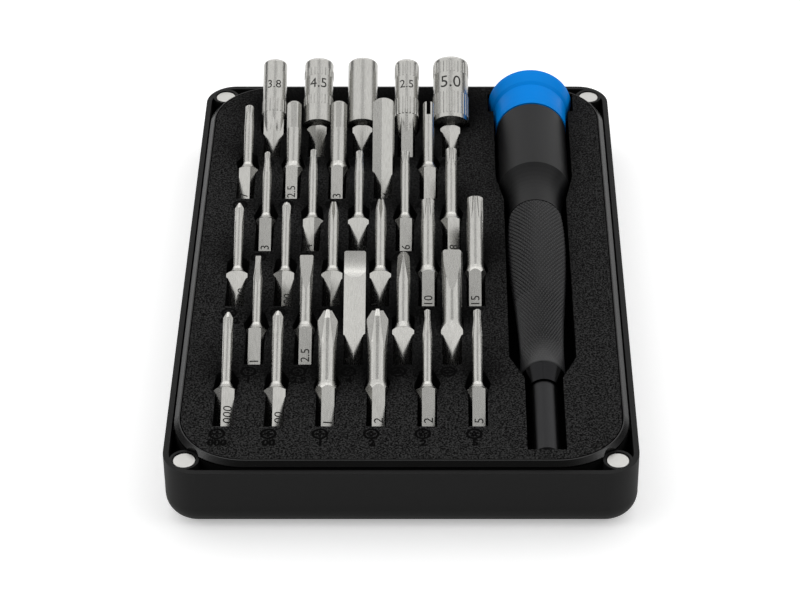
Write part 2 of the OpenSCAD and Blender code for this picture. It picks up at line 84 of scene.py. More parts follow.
# Fluted bands of the socket heads, in millimetres from the butt
FLUTED = {
    "nut_socket_large": ((15.2, 20.3), (24.6, 27.3)),
    "nut_socket_small": ((15.6, 19.6), (24.3, 27.4)),
    "socket_ribbed_large": ((17.7, 20.0), (24.2, 26.2)),
    "socket_ribbed_small": ((16.2, 19.2),),
}

# Plain numbers on the socket heads
HEAD_NUMBERS = {
    "nut_socket_large": "5.0",
    "nut_socket_small": "2.5",
    "socket_ribbed_large": "4.5",
    "socket_ribbed_small": "3.8",
}


def driver_axis():
    """X and Z of the driver's axis, which runs along Y inside the shaft, and Y of the grip's two ends."""
    low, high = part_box("drive_shaft")
    grip_low, grip_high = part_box("grip_sleeve")
    return (low[0] + high[0]) / 2, (low[2] + high[2]) / 2, grip_low[1], grip_high[1]


def linear(hex_colour):
    """An sRGB hex colour as linear red, green, blue and alpha."""
    parts = [int(hex_colour[i:i + 2], 16) / 255 for i in (1, 3, 5)]
    return tuple(p / 12.92 if p <= 0.04045 else ((p + 0.055) / 1.055) ** 2.4 for p in parts) + (1.0,)


def per_metre(size_mm):
    """Texture scale at which one cell of a pattern is that many millimetres wide."""
    return 1 / (size_mm * MM)


class StageSettings(bpy.types.PropertyGroup):
    """Camera, lamps and floor."""

    camera_place: FloatVectorProperty(
        name="Camera place", description="Where the camera stands", subtype="TRANSLATION", unit="LENGTH",
        default=(0.006404, -0.421962, 0.317314))
    camera_pitch: FloatProperty(
        name="Camera pitch", description="How far the camera looks down", subtype="ANGLE",
        default=math.radians(36.65))
    camera_lens: FloatProperty(
        name="Lens", description="Focal length on a 36 mm sensor, in millimetres", default=122.85)
    camera_shift: FloatProperty(
        name="Shift", description="Sideways shift of the picture, as a share of its width", default=-0.0475)
    floor_colour: StringProperty(
        name="Floor colour", description="sRGB colour of the floor", default="#eeeeee")
    floor_lift: FloatProperty(
        name="Floor lift", description="Light added to the floor where it is seen", default=0.4)
    backdrop_lift: FloatProperty(
        name="Backdrop lift", description="Light added to the backdrop where it is seen", default=0.8)
    world_strength: FloatProperty(
        name="World strength", description="Light from all round", default=0.2)
    side_power: FloatProperty(
        name="Side power", description="Power of the softbox on each side", unit="POWER", default=2.35)
    low_power: FloatProperty(
        name="Low power", description="Power of the narrow strip below each side box", unit="POWER",
        default=0.27)
    top_power: FloatProperty(
        name="Top power", description="Power of the strip between the side boxes", unit="POWER",
        default=0.34)
    rear_power: FloatProperty(
        name="Rear power", description="Power of the softbox behind the set", unit="POWER", default=0.5)


class FinishSettings(bpy.types.PropertyGroup):
    """Colours of the materials, as sRGB hex values."""

    case_colour: StringProperty(name="Case", description="Moulded case", default="#080808")
    foam_colour: StringProperty(name="Foam", description="Dark cells of the foam", default="#040404")
    foam_fleck: StringProperty(name="Foam flecks", description="Light cells of the foam", default="#3a3a3a")
    steel_colour: StringProperty(name="Steel", description="Satin tool steel", default="#b8b7b3")
    steel_line: StringProperty(name="Steel lines", description="Lines in the steel", default="#a9a8a4")
    nickel_colour: StringProperty(name="Nickel", description="Plating of the magnets", default="#c4c3c0")
    handle_colour: StringProperty(name="Handle", description="Anodised handle", default="#0e0e0f")
    grip_colour: StringProperty(name="Grip", description="Anodised grip", default="#232324")
    shaft_colour: StringProperty(name="Shaft", description="Blackened drive shaft", default="#262627")
    cap_colour: StringProperty(name="Cap", description="Turning cap", default="#0086e5")
    mark_colour: StringProperty(name="Marks", description="Marks pressed into the foam", default="#020202")
    number_colour: StringProperty(name="Numbers", description="Numbers etched in steel", default="#40403e")


class GripSettings(bpy.types.PropertyGroup):
    """Diamond knurl of the grip."""

    diamonds: IntProperty(
        name="Diamonds", description="Diamonds round the grip", default=46, min=8, max=64)
    pitch: FloatProperty(
        name="Pitch", description="Length of a diamond along the grip", unit="LENGTH", default=1.25 * MM)
    depth: FloatProperty(
        name="Depth", description="Depth of the grooves", unit="LENGTH", default=0.17 * MM)
    margin: FloatProperty(
        name="Margin", description="Length over which the knurl fades at the rear", unit="LENGTH",
        default=0.5 * MM)
    lead_in: FloatProperty(
        name="Lead-in", description="Length over which the knurl fades at the front", unit="LENGTH",
        default=8 * MM)


class MarkSettings(bpy.types.PropertyGroup):
    """Marks beside the pockets and numbers on the bits."""

    ring_radius: FloatProperty(
        name="Ring radius", description="Radius of the ring round a symbol", unit="LENGTH",
        default=1.25 * MM)
    symbol_radius: FloatProperty(
        name="Symbol radius", description="Radius of a symbol", unit="LENGTH", default=0.8 * MM)
    stroke: FloatProperty(
        name="Stroke", description="Width of the lines", unit="LENGTH", default=0.42 * MM)
    relief: FloatProperty(
        name="Relief", description="Height of marks and numbers over their ground", unit="LENGTH",
        default=0.02 * MM)
    foam_number: FloatProperty(
        name="Foam numbers", description="Height of a number on the foam", unit="LENGTH", default=1.75 * MM)
    bit_number: FloatProperty(
        name="Bit numbers", description="Height of a number on a shank", unit="LENGTH", default=1.6 * MM)
    head_number: FloatProperty(
        name="Head numbers", description="Height of a number on a head, as a share of the head's width",
        default=0.36)


class SetSettings(bpy.types.PropertyGroup):
    """All settings of the set."""

    stage: PointerProperty(type=StageSettings)
    finish: PointerProperty(type=FinishSettings)
    grip: PointerProperty(type=GripSettings)
    mark: PointerProperty(type=MarkSettings)


def settings():
    """The set's settings in this scene."""
    return bpy.context.scene.driver_set


def add_node(tree, kind, values=None, links=None, **properties):
    """Adds a node, sets its properties and free sockets, and links other sockets into it."""
    node = tree.nodes.new(kind)
    for name, value in properties.items():
        setattr(node, name, value)
    for socket, value in (values or {}).items():
        node.inputs[socket].default_value = value
    for socket, source in (links or {}).items():
        tree.links.new(source, node.inputs[socket])
    return node


def new_material(name, colour, roughness, metallic=0.0, **sockets):
    """A material with one principled shader: the material, its tree and the shader.

    Further sockets are named with an underscore for each space.
    """
    material = bpy.data.materials.new(name)
    material.use_nodes = True
    tree = material.node_tree
    shader = tree.nodes["Principled BSDF"]
    shader.inputs["Base Color"].default_value = linear(colour)
    shader.inputs["Roughness"].default_value = roughness
    shader.inputs["Metallic"].default_value = metallic
    for socket, value in sockets.items():
        shader.inputs[socket.replace("_", " ")].default_value = value
    return material, tree, shader


def two_colours(ramp, low, high, low_at, high_at):
    """Sets a colour ramp to run from one colour to another."""
    ramp.color_ramp.elements[0].position = low_at
    ramp.color_ramp.elements[0].color = low
    ramp.color_ramp.elements[1].position = high_at
    ramp.color_ramp.elements[1].color = high


def dress(node, material):
    """Puts one material on a CAD node or a new piece."""
    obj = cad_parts[node] if isinstance(node, str) else node
    obj.data.materials.clear()
    obj.data.materials.append(material)


def moulded_abs():
    """Moulded ABS: a fine eroded grain dulls the walls, and the smooth rim catches the lamps."""
    wall_roughness = 0.65
    rim_roughness = 0.25
    material, tree, shader = new_material("moulded_abs", settings().finish.case_colour, wall_roughness,
                                          Specular_IOR_Level=0.24)
    place = add_node(tree, "ShaderNodeTexCoord")
    grain = add_node(tree, "ShaderNodeTexNoise", {"Scale": per_metre(0.35), "Detail": 3.0},
                     {"Vector": place.outputs["Object"]})
    bump = add_node(tree, "ShaderNodeBump", {"Strength": 0.2, "Distance": 0.02 * MM},
                    {"Height": grain.outputs["Fac"]})
    level = add_node(tree, "ShaderNodeSeparateXYZ", links={"Vector": place.outputs["Object"]})
    polish = add_node(tree, "ShaderNodeMapRange",
                      {"From Min": RIM_FOOT, "From Max": RIM_FOOT + POLISH_START,
                       "To Min": wall_roughness, "To Max": rim_roughness},
                      {"Value": level.outputs["Z"]})
    tree.links.new(polish.outputs["Result"], shader.inputs["Roughness"])
    tree.links.new(bump.outputs["Normal"], shader.inputs["Normal"])
    return material


def cell_foam():
    """Closed-cell EVA foam: dull black with light flecks, darker on cut walls, with painted shade deep
    between the bits.

    Painted shade: the flecks fade with a power of the share of the sky that stays open within the shadows'
    reach.
    """
    # Reach and power of the painted shade that darkens the foam where bits crowd it
    painted_shade_reach = 15 * MM
    painted_shade_power = 4.0
    finish = settings().finish
    material, tree, shader = new_material("eva_foam", finish.foam_colour, roughness=0.85,
                                          Specular_IOR_Level=0.03)
    place = add_node(tree, "ShaderNodeTexCoord")
    cells = add_node(tree, "ShaderNodeTexVoronoi", {"Scale": per_metre(0.42)},
                     {"Vector": place.outputs["Object"]})
    grain = add_node(tree, "ShaderNodeTexNoise",
                     {"Scale": per_metre(0.32), "Detail": 2.0, "Roughness": 0.7},
                     {"Vector": place.outputs["Object"]})
    fleck = add_node(tree, "ShaderNodeValToRGB", links={"Fac": grain.outputs["Fac"]})
    two_colours(fleck, linear(finish.foam_colour), linear(finish.foam_fleck), 0.42, 0.62)
    facing = add_node(tree, "ShaderNodeNewGeometry")
    upright = add_node(tree, "ShaderNodeSeparateXYZ", links={"Vector": facing.outputs["Normal"]})
    # Painted shade: an ambient-occlusion node darkens the flecks near the bits, standing in for their
    # shadow
    painted_shade_occlusion = add_node(tree, "ShaderNodeAmbientOcclusion", {"Distance": painted_shade_reach})
    painted_shade_fade = add_node(tree, "ShaderNodeMath", {1: painted_shade_power}, {0: painted_shade_occlusion.outputs["AO"]},
                        operation="POWER")
    fleck_share_after_painted_shade = add_node(tree, "ShaderNodeMath", operation="MULTIPLY",
                         links={0: painted_shade_fade.outputs[0], 1: upright.outputs["Z"]})
    skin = add_node(tree, "ShaderNodeMix", {6: linear(finish.foam_colour)},
                    {0: fleck_share_after_painted_shade.outputs[0], 7: fleck.outputs["Color"]}, data_type="RGBA")
    bump = add_node(tree, "ShaderNodeBump", {"Strength": 0.6, "Distance": 0.1 * MM},
                    {"Height": cells.outputs["Distance"]})
    tree.links.new(skin.outputs[2], shader.inputs["Base Color"])
    tree.links.new(bump.outputs["Normal"], shader.inputs["Normal"])
    return material


def satin_steel():
    """Drawn and tumbled tool steel: mirror-like facets with fine dark lines along the bar.

    The lines are coarser than real ones, so that they show.
    """
    length_to_width = 12.0
    finish = settings().finish
    material, tree, shader = new_material("satin_tool_steel", finish.steel_colour, roughness=0.24,
                                          metallic=1.0)
    place = add_node(tree, "ShaderNodeTexCoord")
    along = add_node(tree, "ShaderNodeMapping",
                     {"Rotation": (BIT_LEAN, 0.0, 0.0), "Scale": (1.0, length_to_width, 1.0)},
                     {"Vector": place.outputs["Object"]}, vector_type="TEXTURE")
    lines = add_node(tree, "ShaderNodeTexNoise", {"Scale": per_metre(0.12), "Detail": 2.0},
                     {"Vector": along.outputs["Vector"]})
    tint = add_node(tree, "ShaderNodeValToRGB", links={"Fac": lines.outputs["Fac"]})
    two_colours(tint, linear(finish.steel_line), linear(finish.steel_colour), 0.3, 0.62)
    spread = add_node(tree, "ShaderNodeMapRange", {"To Min": 0.32, "To Max": 0.2},
                      {"Value": lines.outputs["Fac"]})
    bump = add_node(tree, "ShaderNodeBump", {"Strength": 0.1, "Distance": 0.005 * MM},
                    {"Height": lines.outputs["Fac"]})
    tree.links.new(tint.outputs["Color"], shader.inputs["Base Color"])
    tree.links.new(spread.outputs["Result"], shader.inputs["Roughness"])
    tree.links.new(bump.outputs["Normal"], shader.inputs["Normal"])
    return material


def nickel_plate():
    """Bright nickel plating on the disc magnets: pale, soft mirror."""
    material, tree, shader = new_material("nickel_plate", settings().finish.nickel_colour, roughness=0.5,
                                          metallic=1.0)
    place = add_node(tree, "ShaderNodeTexCoord")
    tumble = add_node(tree, "ShaderNodeTexNoise", {"Scale": per_metre(0.6), "Detail": 2.0},
                      {"Vector": place.outputs["Object"]})
    spread = add_node(tree, "ShaderNodeMapRange", {"To Min": 0.45, "To Max": 0.6},
                      {"Value": tumble.outputs["Fac"]})
    tree.links.new(spread.outputs["Result"], shader.inputs["Roughness"])
    return material


def anodised_aluminium(name, colour, roughness, gloss):
    """Bead-blasted, black anodised aluminium: dull, with a faint sparkle of the blasting."""
    material, tree, shader = new_material(name, colour, roughness, Specular_IOR_Level=gloss)
    place = add_node(tree, "ShaderNodeTexCoord")
    blast = add_node(tree, "ShaderNodeTexNoise", {"Scale": per_metre(0.25), "Detail": 2.0},
                     {"Vector": place.outputs["Object"]})
    bump = add_node(tree, "ShaderNodeBump", {"Strength": 0.2, "Distance": 0.02 * MM},
                    {"Height": blast.outputs["Fac"]})
    tree.links.new(bump.outputs["Normal"], shader.inputs["Normal"])
    return material


def blackened_steel(name, roughness):
    """Turned, oil-blackened steel: a dark mirror with fine turning rings across the driver's axis.

    The pattern is stretched round the axis by shrinking its X and Z.
    """
    across = 0.04
    material, tree, shader = new_material(name, settings().finish.shaft_colour, roughness, metallic=1.0)
    place = add_node(tree, "ShaderNodeTexCoord")
    rings = add_node(tree, "ShaderNodeMapping", {"Scale": (across, 1.0, across)},
                     {"Vector": place.outputs["Object"]})
    turned = add_node(tree, "ShaderNodeTexNoise", {"Scale": per_metre(0.15), "Detail": 2.0},
                      {"Vector": rings.outputs["Vector"]})
    bump = add_node(tree, "ShaderNodeBump", {"Strength": 0.2, "Distance": 0.005 * MM},
                    {"Height": turned.outputs["Fac"]})
    tree.links.new(bump.outputs["Normal"], shader.inputs["Normal"])
    return material


def moulded_cap():
    """Moulded blue polycarbonate: a smooth skin with a soft gloss."""
    material, tree, shader = new_material("blue_polycarbonate", settings().finish.cap_colour,
                                          roughness=0.38, Specular_IOR_Level=0.04)
    place = add_node(tree, "ShaderNodeTexCoord")
    skin = add_node(tree, "ShaderNodeTexNoise", {"Scale": per_metre(0.8), "Detail": 2.0},
                    {"Vector": place.outputs["Object"]})
    bump = add_node(tree, "ShaderNodeBump", {"Strength": 0.1, "Distance": 0.02 * MM},
                    {"Height": skin.outputs["Fac"]})
    tree.links.new(bump.outputs["Normal"], shader.inputs["Normal"])
    return material


def etched(name, colour):
    """Ground that was etched, burnt or pressed dark: dull, with a faint mottle."""
    material, tree, shader = new_material(name, colour, roughness=0.7, Specular_IOR_Level=0.03)
    place = add_node(tree, "ShaderNodeTexCoord")
    mottle = add_node(tree, "ShaderNodeTexNoise", {"Scale": per_metre(0.2), "Detail": 2.0},
                      {"Vector": place.outputs["Object"]})
    spread = add_node(tree, "ShaderNodeMapRange", {"To Min": 0.6, "To Max": 0.85},
                      {"Value": mottle.outputs["Fac"]})
    tree.links.new(spread.outputs["Result"], shader.inputs["Roughness"])
    return material


def grid(points, wrap_u, wrap_v):
    """Quads over a grid of points, rows u and columns v, closed along either if asked: points and faces."""
    rows, columns = points.shape[:2]
    u = np.arange(rows if wrap_u else rows - 1)
    v = np.arange(columns if wrap_v else columns - 1)
    a, b = np.meshgrid(u, v, indexing="ij")
    a2, b2 = (a + 1) % rows, (b + 1) % columns
    quads = np.stack([a * columns + b, a2 * columns + b, a2 * columns + b2, a * columns + b2], -1)
    return points.reshape(-1, 3), quads.reshape(-1, 4).tolist()


def make_object(name, parts):
    """One object from several parts, each given as points and faces."""
    points, faces, start = [], [], 0
    for part_points, part_faces in parts:
        points.extend(part_points.tolist())
        faces.extend([[start + i for i in face] for face in part_faces])
        start += len(part_points)
    mesh = bpy.data.meshes.new(name)
    mesh.from_pydata(points, [], faces)
    mesh.validate()
    obj = bpy.data.objects.new(name, mesh)
    bpy.context.scene.collection.objects.link(obj)
    return obj


def add_piece(name, parts, material, body):
    """A finished piece that rides on a body."""
    piece = make_object(name, parts)
    dress(piece, material)
    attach(piece, body)
    return piece


def ribbon(path, width, low, high, closed):
    """A flat band of one width along a path in the plane, between two heights.

    Each point p of the path gives the corners p + n w/2 and p - n w/2 at both heights. n is the path's
    normal there, made longer by 1 / cos(half the bend), so that the band keeps its width round a bend.
    """
    ahead = np.roll(path, -1, axis=0) - path
    if not closed:
        ahead[-1] = ahead[-2]
    ahead /= np.linalg.norm(ahead, axis=1, keepdims=True)
    behind = np.roll(ahead, 1, axis=0)
    if not closed:
        behind[0] = ahead[0]
    normal_ahead = np.stack([-ahead[:, 1], ahead[:, 0]], -1)
    normal_behind = np.stack([-behind[:, 1], behind[:, 0]], -1)
    normal = normal_ahead + normal_behind
    normal /= (normal * normal_ahead).sum(1, keepdims=True)
    left, right = path + normal * width / 2, path - normal * width / 2
    lows, highs = np.full((len(path), 1), low), np.full((len(path), 1), high)
    corners = [(left, lows), (left, highs), (right, highs), (right, lows)]
    points, faces = grid(np.stack([np.hstack(corner) for corner in corners], 1), closed, True)
    if not closed:
        last = 4 * (len(path) - 1)
        faces += [[0, 1, 2, 3], [last + 3, last + 2, last + 1, last]]
    return points, faces


def polygon_path(sides, radius, turn=0.0, squash=1.0):
    """Corners of an even polygon: radius * (cos, squash sin) of sides even angles."""
    angle = turn + 2 * np.pi * np.arange(sides) / sides
    return radius * np.stack([np.cos(angle), squash * np.sin(angle)], -1)


def number_mesh(text, height, weight=0.0, slices=0):
    """A plain number in the plane, centred on the origin and one unit deep: points and faces.

    The weight widens each stroke on both sides, as a share of the font's size. Upright cuts part the faces
    into that many slices, for a number that is bent round a curve.
    """
    same_point = 1e-4
    curve = bpy.data.curves.new("number", "FONT")
    curve.body = text
    curve.size = 1
    curve.extrude = 0.5
    curve.offset = weight
    curve.resolution_u = 3
    carrier = bpy.data.objects.new("number", curve)
    mesh = bpy.data.meshes.new_from_object(carrier)
    join = bmesh.new()
    join.from_mesh(mesh)
    bmesh.ops.remove_doubles(join, verts=join.verts, dist=same_point)
    left, right = min(v.co.x for v in join.verts), max(v.co.x for v in join.verts)
    for cut in np.linspace(left, right, slices + 1)[1:-1]:
        everything = join.verts[:] + join.edges[:] + join.faces[:]
        bmesh.ops.bisect_plane(join, geom=everything, plane_co=(cut, 0, 0), plane_no=(1, 0, 0))
    join.verts.index_update()
    points = np.array([v.co[:] for v in join.verts])
    faces = [[v.index for v in face.verts] for face in join.faces]
    join.free()
    bpy.data.objects.remove(carrier)
    bpy.data.meshes.remove(mesh)
    bpy.data.curves.remove(curve)
    low, high = points.min(0), points.max(0)
    points[:, :2] = (points[:, :2] - (low[:2] + high[:2]) / 2) * height / (high[1] - low[1])
    return points, faces


def node_points(node):
    """Corner points of a CAD node."""
    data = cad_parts[node].data
    flat = np.empty(len(data.vertices) * 3, np.float32)
    data.vertices.foreach_get("co", flat)
    return flat.reshape(-1, 3).astype(float)


def butt_middle(node):
    """Middle of a bit's butt. A bit is even about its axis, so the middle of its spread is the axis."""
    points = node_points(node)
    out, across = points @ OUT_OF_BIT, points[:, 0]
    middle = np.array([(across.min() + across.max()) / 2, 0, 0])
    return middle + OUT_OF_BIT * (out.min() + out.max()) / 2 + ALONG_BIT * (points @ ALONG_BIT).min()


def upper_facet(node):
    """Unit normal of the shank facet that looks up most, and its distance from the bit's axis."""
    butt = butt_middle(node)
    best, reach = OUT_OF_BIT, 0.0
    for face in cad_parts[node].data.polygons:
        normal = np.array(face.normal)
        offset = np.array(face.center) - butt
        on_shank = abs(normal @ ALONG_BIT) < LEANS_BELOW and offset @ ALONG_BIT < SHANK
        if on_shank and (reach == 0 or normal @ OUT_OF_BIT > best @ OUT_OF_BIT + LOOKS_UP_BY):
            best, reach = normal, normal @ offset
    return best, reach


def number_of(node):
    """The size in a node's name as a plain number, or nothing: bit_hex_2_5 gives 2.5."""
    return ".".join(part for part in node.split("_") if part.isdigit())


def node_radius(node, axis_x, axis_z, stations):
    """Outer radius of a turned CAD node about an axis along Y, at each station."""
    points = node_points(node)
    radius = np.hypot(points[:, 0] - axis_x, points[:, 2] - axis_z)
    levels = np.unique(np.round(points[:, 1], 6))
    outer = np.array([radius[np.abs(points[:, 1] - y) < RING_WITHIN].max() for y in levels])
    return np.interp(stations, levels, outer)


class DRIVERSET_OT_stage(bpy.types.Operator):
    """Sets up the floor, the lamps, the world and the camera"""

    bl_idname = "driver_set.stage"
    bl_label = "Stage"

    def execute(self, context):
        stage = settings().stage
        scene = context.scene
        scene.view_settings.view_transform = "Standard"
        self.sweep(stage)
        self.world(scene, stage)
        self.lamps(scene, stage)
        data = bpy.data.cameras.new("camera")
        data.sensor_width = 36
        data.lens = stage.camera_lens
        data.shift_x = stage.camera_shift
        data.clip_start = 0.01
        camera = bpy.data.objects.new("camera", data)
        camera.location = stage.camera_place
        camera.rotation_euler = (math.pi / 2 - stage.camera_pitch, 0, 0)
        scene.collection.objects.link(camera)
        scene.camera = camera
        return {"FINISHED"}

    def sweep(self, stage):
        """A wide flat floor at the level of the case's underside, and an upright backdrop at its rear."""
        half = 1.5
        across = np.array([[-half, 0, 0], [half, 0, 0]])[:, None]
        floor = make_object("floor", [grid(across + [[0, -half, 0], [0, half, 0]], False, False)])
        dress(floor, self.paper("white_paper", stage.floor_lift, stage))
        backdrop = make_object("backdrop", [grid(across + [[0, half, 0], [0, half, half]], False, False)])
        dress(backdrop, self.paper("white_backdrop", stage.backdrop_lift, stage))

    def paper(self, name, lift, stage):
        """White paper: dull, and lifted to white where the camera, metal or glass sees it."""
        material, tree, shader = new_material(name, stage.floor_colour, roughness=0.9,
                                              Specular_IOR_Level=0.1)
        path = add_node(tree, "ShaderNodeLightPath")
        seen = add_node(tree, "ShaderNodeMath", operation="ADD",
                        links={0: path.outputs["Is Camera Ray"], 1: path.outputs["Is Glossy Ray"]})
        shown = add_node(tree, "ShaderNodeMath", operation="ADD",
                         links={0: seen.outputs[0], 1: path.outputs["Is Transmission Ray"]})
        glow = add_node(tree, "ShaderNodeMath", {1: lift}, {0: shown.outputs[0]}, operation="MULTIPLY")
        shader.inputs["Emission Color"].default_value = (1, 1, 1, 1)
        tree.links.new(glow.outputs[0], shader.inputs["Emission Strength"])
        return material

    def world(self, scene, stage):
        """Even white light from all round."""
        world = bpy.data.worlds.new("white_studio")
        world.use_nodes = True
        tree = world.node_tree
        tree.nodes["Background"].inputs["Color"].default_value = (1, 1, 1, 1)
        tree.nodes["Background"].inputs["Strength"].default_value = stage.world_strength
        scene.world = world

    def lamps(self, scene, stage):
        """Softboxes that face the set: a box and a low strip on each side, a strip above, a box behind."""
        boxes = (("left", (-0.373, 0.1, 0.495), 1.1, 0.69, stage.side_power),
                 ("right", (0.373, 0.1, 0.495), 1.1, 0.69, stage.side_power),
                 ("left_low", (-0.52, -0.15, 0.34), 0.2, 0.065, stage.low_power),
                 ("right_low", (0.52, -0.15, 0.34), 0.2, 0.065, stage.low_power),
                 ("top", (0.0, 0.1, 0.75), 0.2, 0.9, stage.top_power),
                 ("rear", (0.0, 0.6, 0.6), 0.7, 0.35, stage.rear_power))
        for side, place, width, height, power in boxes:
            data = bpy.data.lights.new(f"softbox_{side}", "AREA")
            data.shape = "RECTANGLE"
            data.size = width
            data.size_y = height
            data.energy = power
            lamp = bpy.data.objects.new(f"softbox_{side}", data)
            lamp.location = place
            lamp.rotation_euler = Vector(place).to_track_quat("Z", "Y").to_euler()
            scene.collection.objects.link(lamp)


class DRIVERSET_OT_case(bpy.types.Operator):
    """Finishes the case and its magnets"""

    bl_idname = "driver_set.case"
    bl_label = "Case and magnets"

    def execute(self, context):
        dress("case_base", moulded_abs())
        plate = nickel_plate()
        for node in MAGNET_NODES + ["socket_magnet", "pickup_magnet"]:
            dress(node, plate)
        return {"FINISHED"}


class DRIVERSET_OT_foam(bpy.types.Operator):
    """Finishes the foam insert and marks its pockets"""

    bl_idname = "driver_set.foam"
    bl_label = "Foam"

    # A mark and its number lie ahead of a bit's butt and to the left of it
    MARK_AHEAD = 0.6 * MM
    MARK_ASIDE = 0.75 * MM
    NUMBER_AHEAD = 3.0 * MM
    NUMBER_ASIDE = 0.6 * MM
    # How far marks and numbers reach into the foam
    SUNK = 0.05 * MM
    # Widening of a number's strokes, as a share of the font's size
    NUMBER_WEIGHT = 0.035
    # Corners of a ring, and where a symbol's rays start, as a share of its radius
    RING_POINTS = 20
    RAY_START = 0.2

    def symbol(self, node, mark):
        """Paths of the sign for a drive: whether each is closed, and its points."""
        radius = mark.symbol_radius
        rays = {"flat": 2, "prong": 2, "wing": 3, "cross": 4, "point": 4, "lobe": 5, "star": 6, "ribbed": 6}
        outlines = {"triangle": (3, 1.0), "hex": (6, 1.0), "nut": (6, 1.0),
                    "oval": (16, 0.5), "pickup": (16, 1.0)}
        kind = node.split("_")[0 if node.startswith(("nut", "pickup")) else 1]
        if kind in outlines:
            sides, squash = outlines[kind]
            return [(True, polygon_path(sides, radius, np.pi / 2, squash))]
        tips = polygon_path(rays[kind], radius, np.pi / 2)
        return [(False, np.array([self.RAY_START * tip, tip])) for tip in tips]

    def marks(self):
        """Rings with their signs on the foam, a little ahead of every pocket, and numbers before them."""
        mark = settings().mark
        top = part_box("foam_insert")[1][2]
        parts = []
        for node in BIT_NODES:
            butt_x = butt_middle(node)[0]
            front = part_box(node)[0][1]
            paths = [(True, polygon_path(self.RING_POINTS, mark.ring_radius))] + self.symbol(node, mark)
            place = np.array([butt_x - self.MARK_ASIDE, front - self.MARK_AHEAD, 0])
            for closed, path in paths:
                points, faces = ribbon(path, mark.stroke, top - self.SUNK, top + mark.relief, closed)
                parts.append((points + place, faces))
            if number_of(node):
                points, faces = number_mesh(number_of(node), mark.foam_number, self.NUMBER_WEIGHT)
                points[:, 2] = np.where(points[:, 2] > 0, top + mark.relief, top - self.SUNK)
                parts.append((points + [butt_x - self.NUMBER_ASIDE, front - self.NUMBER_AHEAD, 0], faces))
        return parts

    def execute(self, context):
        dress("foam_insert", cell_foam())
        pressed = etched("pressed_foam", settings().finish.mark_colour)
        add_piece("foam_marks", self.marks(), pressed, "case")
        return {"FINISHED"}


class DRIVERSET_OT_bits(bpy.types.Operator):
    """Finishes the bits, with their numbers and flutes"""

    bl_idname = "driver_set.bits"
    bl_label = "Bits"

    # Distances from the butt: the start of a shank's number, and the middle of a head's number
    NUMBER_START = 6.0 * MM
    HEAD_STATION = 22.4 * MM
    # Slices of a number that is bent round a head
    HEAD_SLICES = 16
    # How far numbers reach into the steel
    SUNK = 0.05 * MM
    # Flutes: spacing round a head, height over it, depth of the band's ends below it, and points for each
    FLUTE_PITCH = 0.72 * MM
    FLUTE_RISE = 0.07 * MM
    FLUTE_ROOT = 0.15 * MM
    FLUTE_SAMPLES = 8

    def shank_number(self, node, mark):
        """A number that reads along the upper facet of a shank, away from the butt."""
        normal, reach = upper_facet(node)
        points, faces = number_mesh(number_of(node), mark.bit_number)
        height = reach + np.where(points[:, 2:] > 0, mark.relief, -self.SUNK)
        across = np.cross(normal, ALONG_BIT)
        along = points[:, :1] - points[:, 0].min() + self.NUMBER_START
        return butt_middle(node) + along * ALONG_BIT + points[:, 1:2] * across + height * normal, faces

    def head_radius(self, node):
        """Radius of a socket's head: half its width across."""
        low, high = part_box(node)
        return (high[0] - low[0]) / 2

    def head_number(self, node, mark):
        """A number bent round a head: a point at x goes to the angle x / radius from the top."""
        height = mark.head_number * 2 * self.head_radius(node)
        points, faces = number_mesh(HEAD_NUMBERS[node], height, slices=self.HEAD_SLICES)
        radius = self.head_radius(node) + np.where(points[:, 2] > 0, mark.relief, -self.SUNK)
        angle = points[:, 0] / self.head_radius(node)
        place = butt_middle(node) + (points[:, 1:2] + self.HEAD_STATION) * ALONG_BIT
        place = place + (radius * np.cos(angle))[:, None] * OUT_OF_BIT
        place[:, 0] += radius * np.sin(angle)
        return place, faces

    def flutes(self, node, start, stop):
        """A band of n ridges round a head, sloped off at both ends.

        The radius at an angle is the head's radius + rise * (1.5 cos(n angle) - 0.5).
        """
        radius = self.head_radius(node)
        count = int(round(2 * np.pi * radius / self.FLUTE_PITCH))
        angle = 2 * np.pi * np.arange(count * self.FLUTE_SAMPLES) / (count * self.FLUTE_SAMPLES)
        ridge = radius + self.FLUTE_RISE * (1.5 * np.cos(count * angle) - 0.5)
        root = np.full_like(ridge, radius - self.FLUTE_ROOT)
        slope = 2 * self.FLUTE_RISE
        rings = np.array([root, ridge, ridge, root])
        stations = np.array([start, start + slope, stop - slope, stop])[:, None, None]
        place = butt_middle(node) + stations * ALONG_BIT + (rings * np.cos(angle))[..., None] * OUT_OF_BIT
        place[..., 0] += rings * np.sin(angle)
        return grid(place, True, True)

    def execute(self, context):
        mark = settings().mark
        steel = satin_steel()
        ink = etched("etched_steel", settings().finish.number_colour)
        for node in BIT_NODES + ["cap_pivot_pin"]:
            dress(node, steel)
        for node in BIT_NODES:
            if number_of(node):
                add_piece(f"number_{node}", [self.shank_number(node, mark)], ink, node)
        for node in HEAD_NUMBERS:
            add_piece(f"number_{node}", [self.head_number(node, mark)], ink, node)
        for node, bands in FLUTED.items():
            parts = [self.flutes(node, start * MM, stop * MM) for start, stop in bands]
            add_piece(f"flutes_{node}", parts, steel, node)
        return {"FINISHED"}


class DRIVERSET_OT_driver(bpy.types.Operator):
    """Finishes the handle, its shaft and the cap"""

    bl_idname = "driver_set.driver"
    bl_label = "Driver"

    def execute(self, context):
        finish = settings().finish
        handle = anodised_aluminium("anodised_aluminium", finish.handle_colour, roughness=0.42, gloss=0.17)
        dress("handle_core", handle)
        dress("nose_collar", blackened_steel("polished_blackened_steel", roughness=0.2))
        dress("drive_shaft", blackened_steel("blackened_steel", roughness=0.35))
        dress("swivel_cap", moulded_cap())
        return {"FINISHED"}


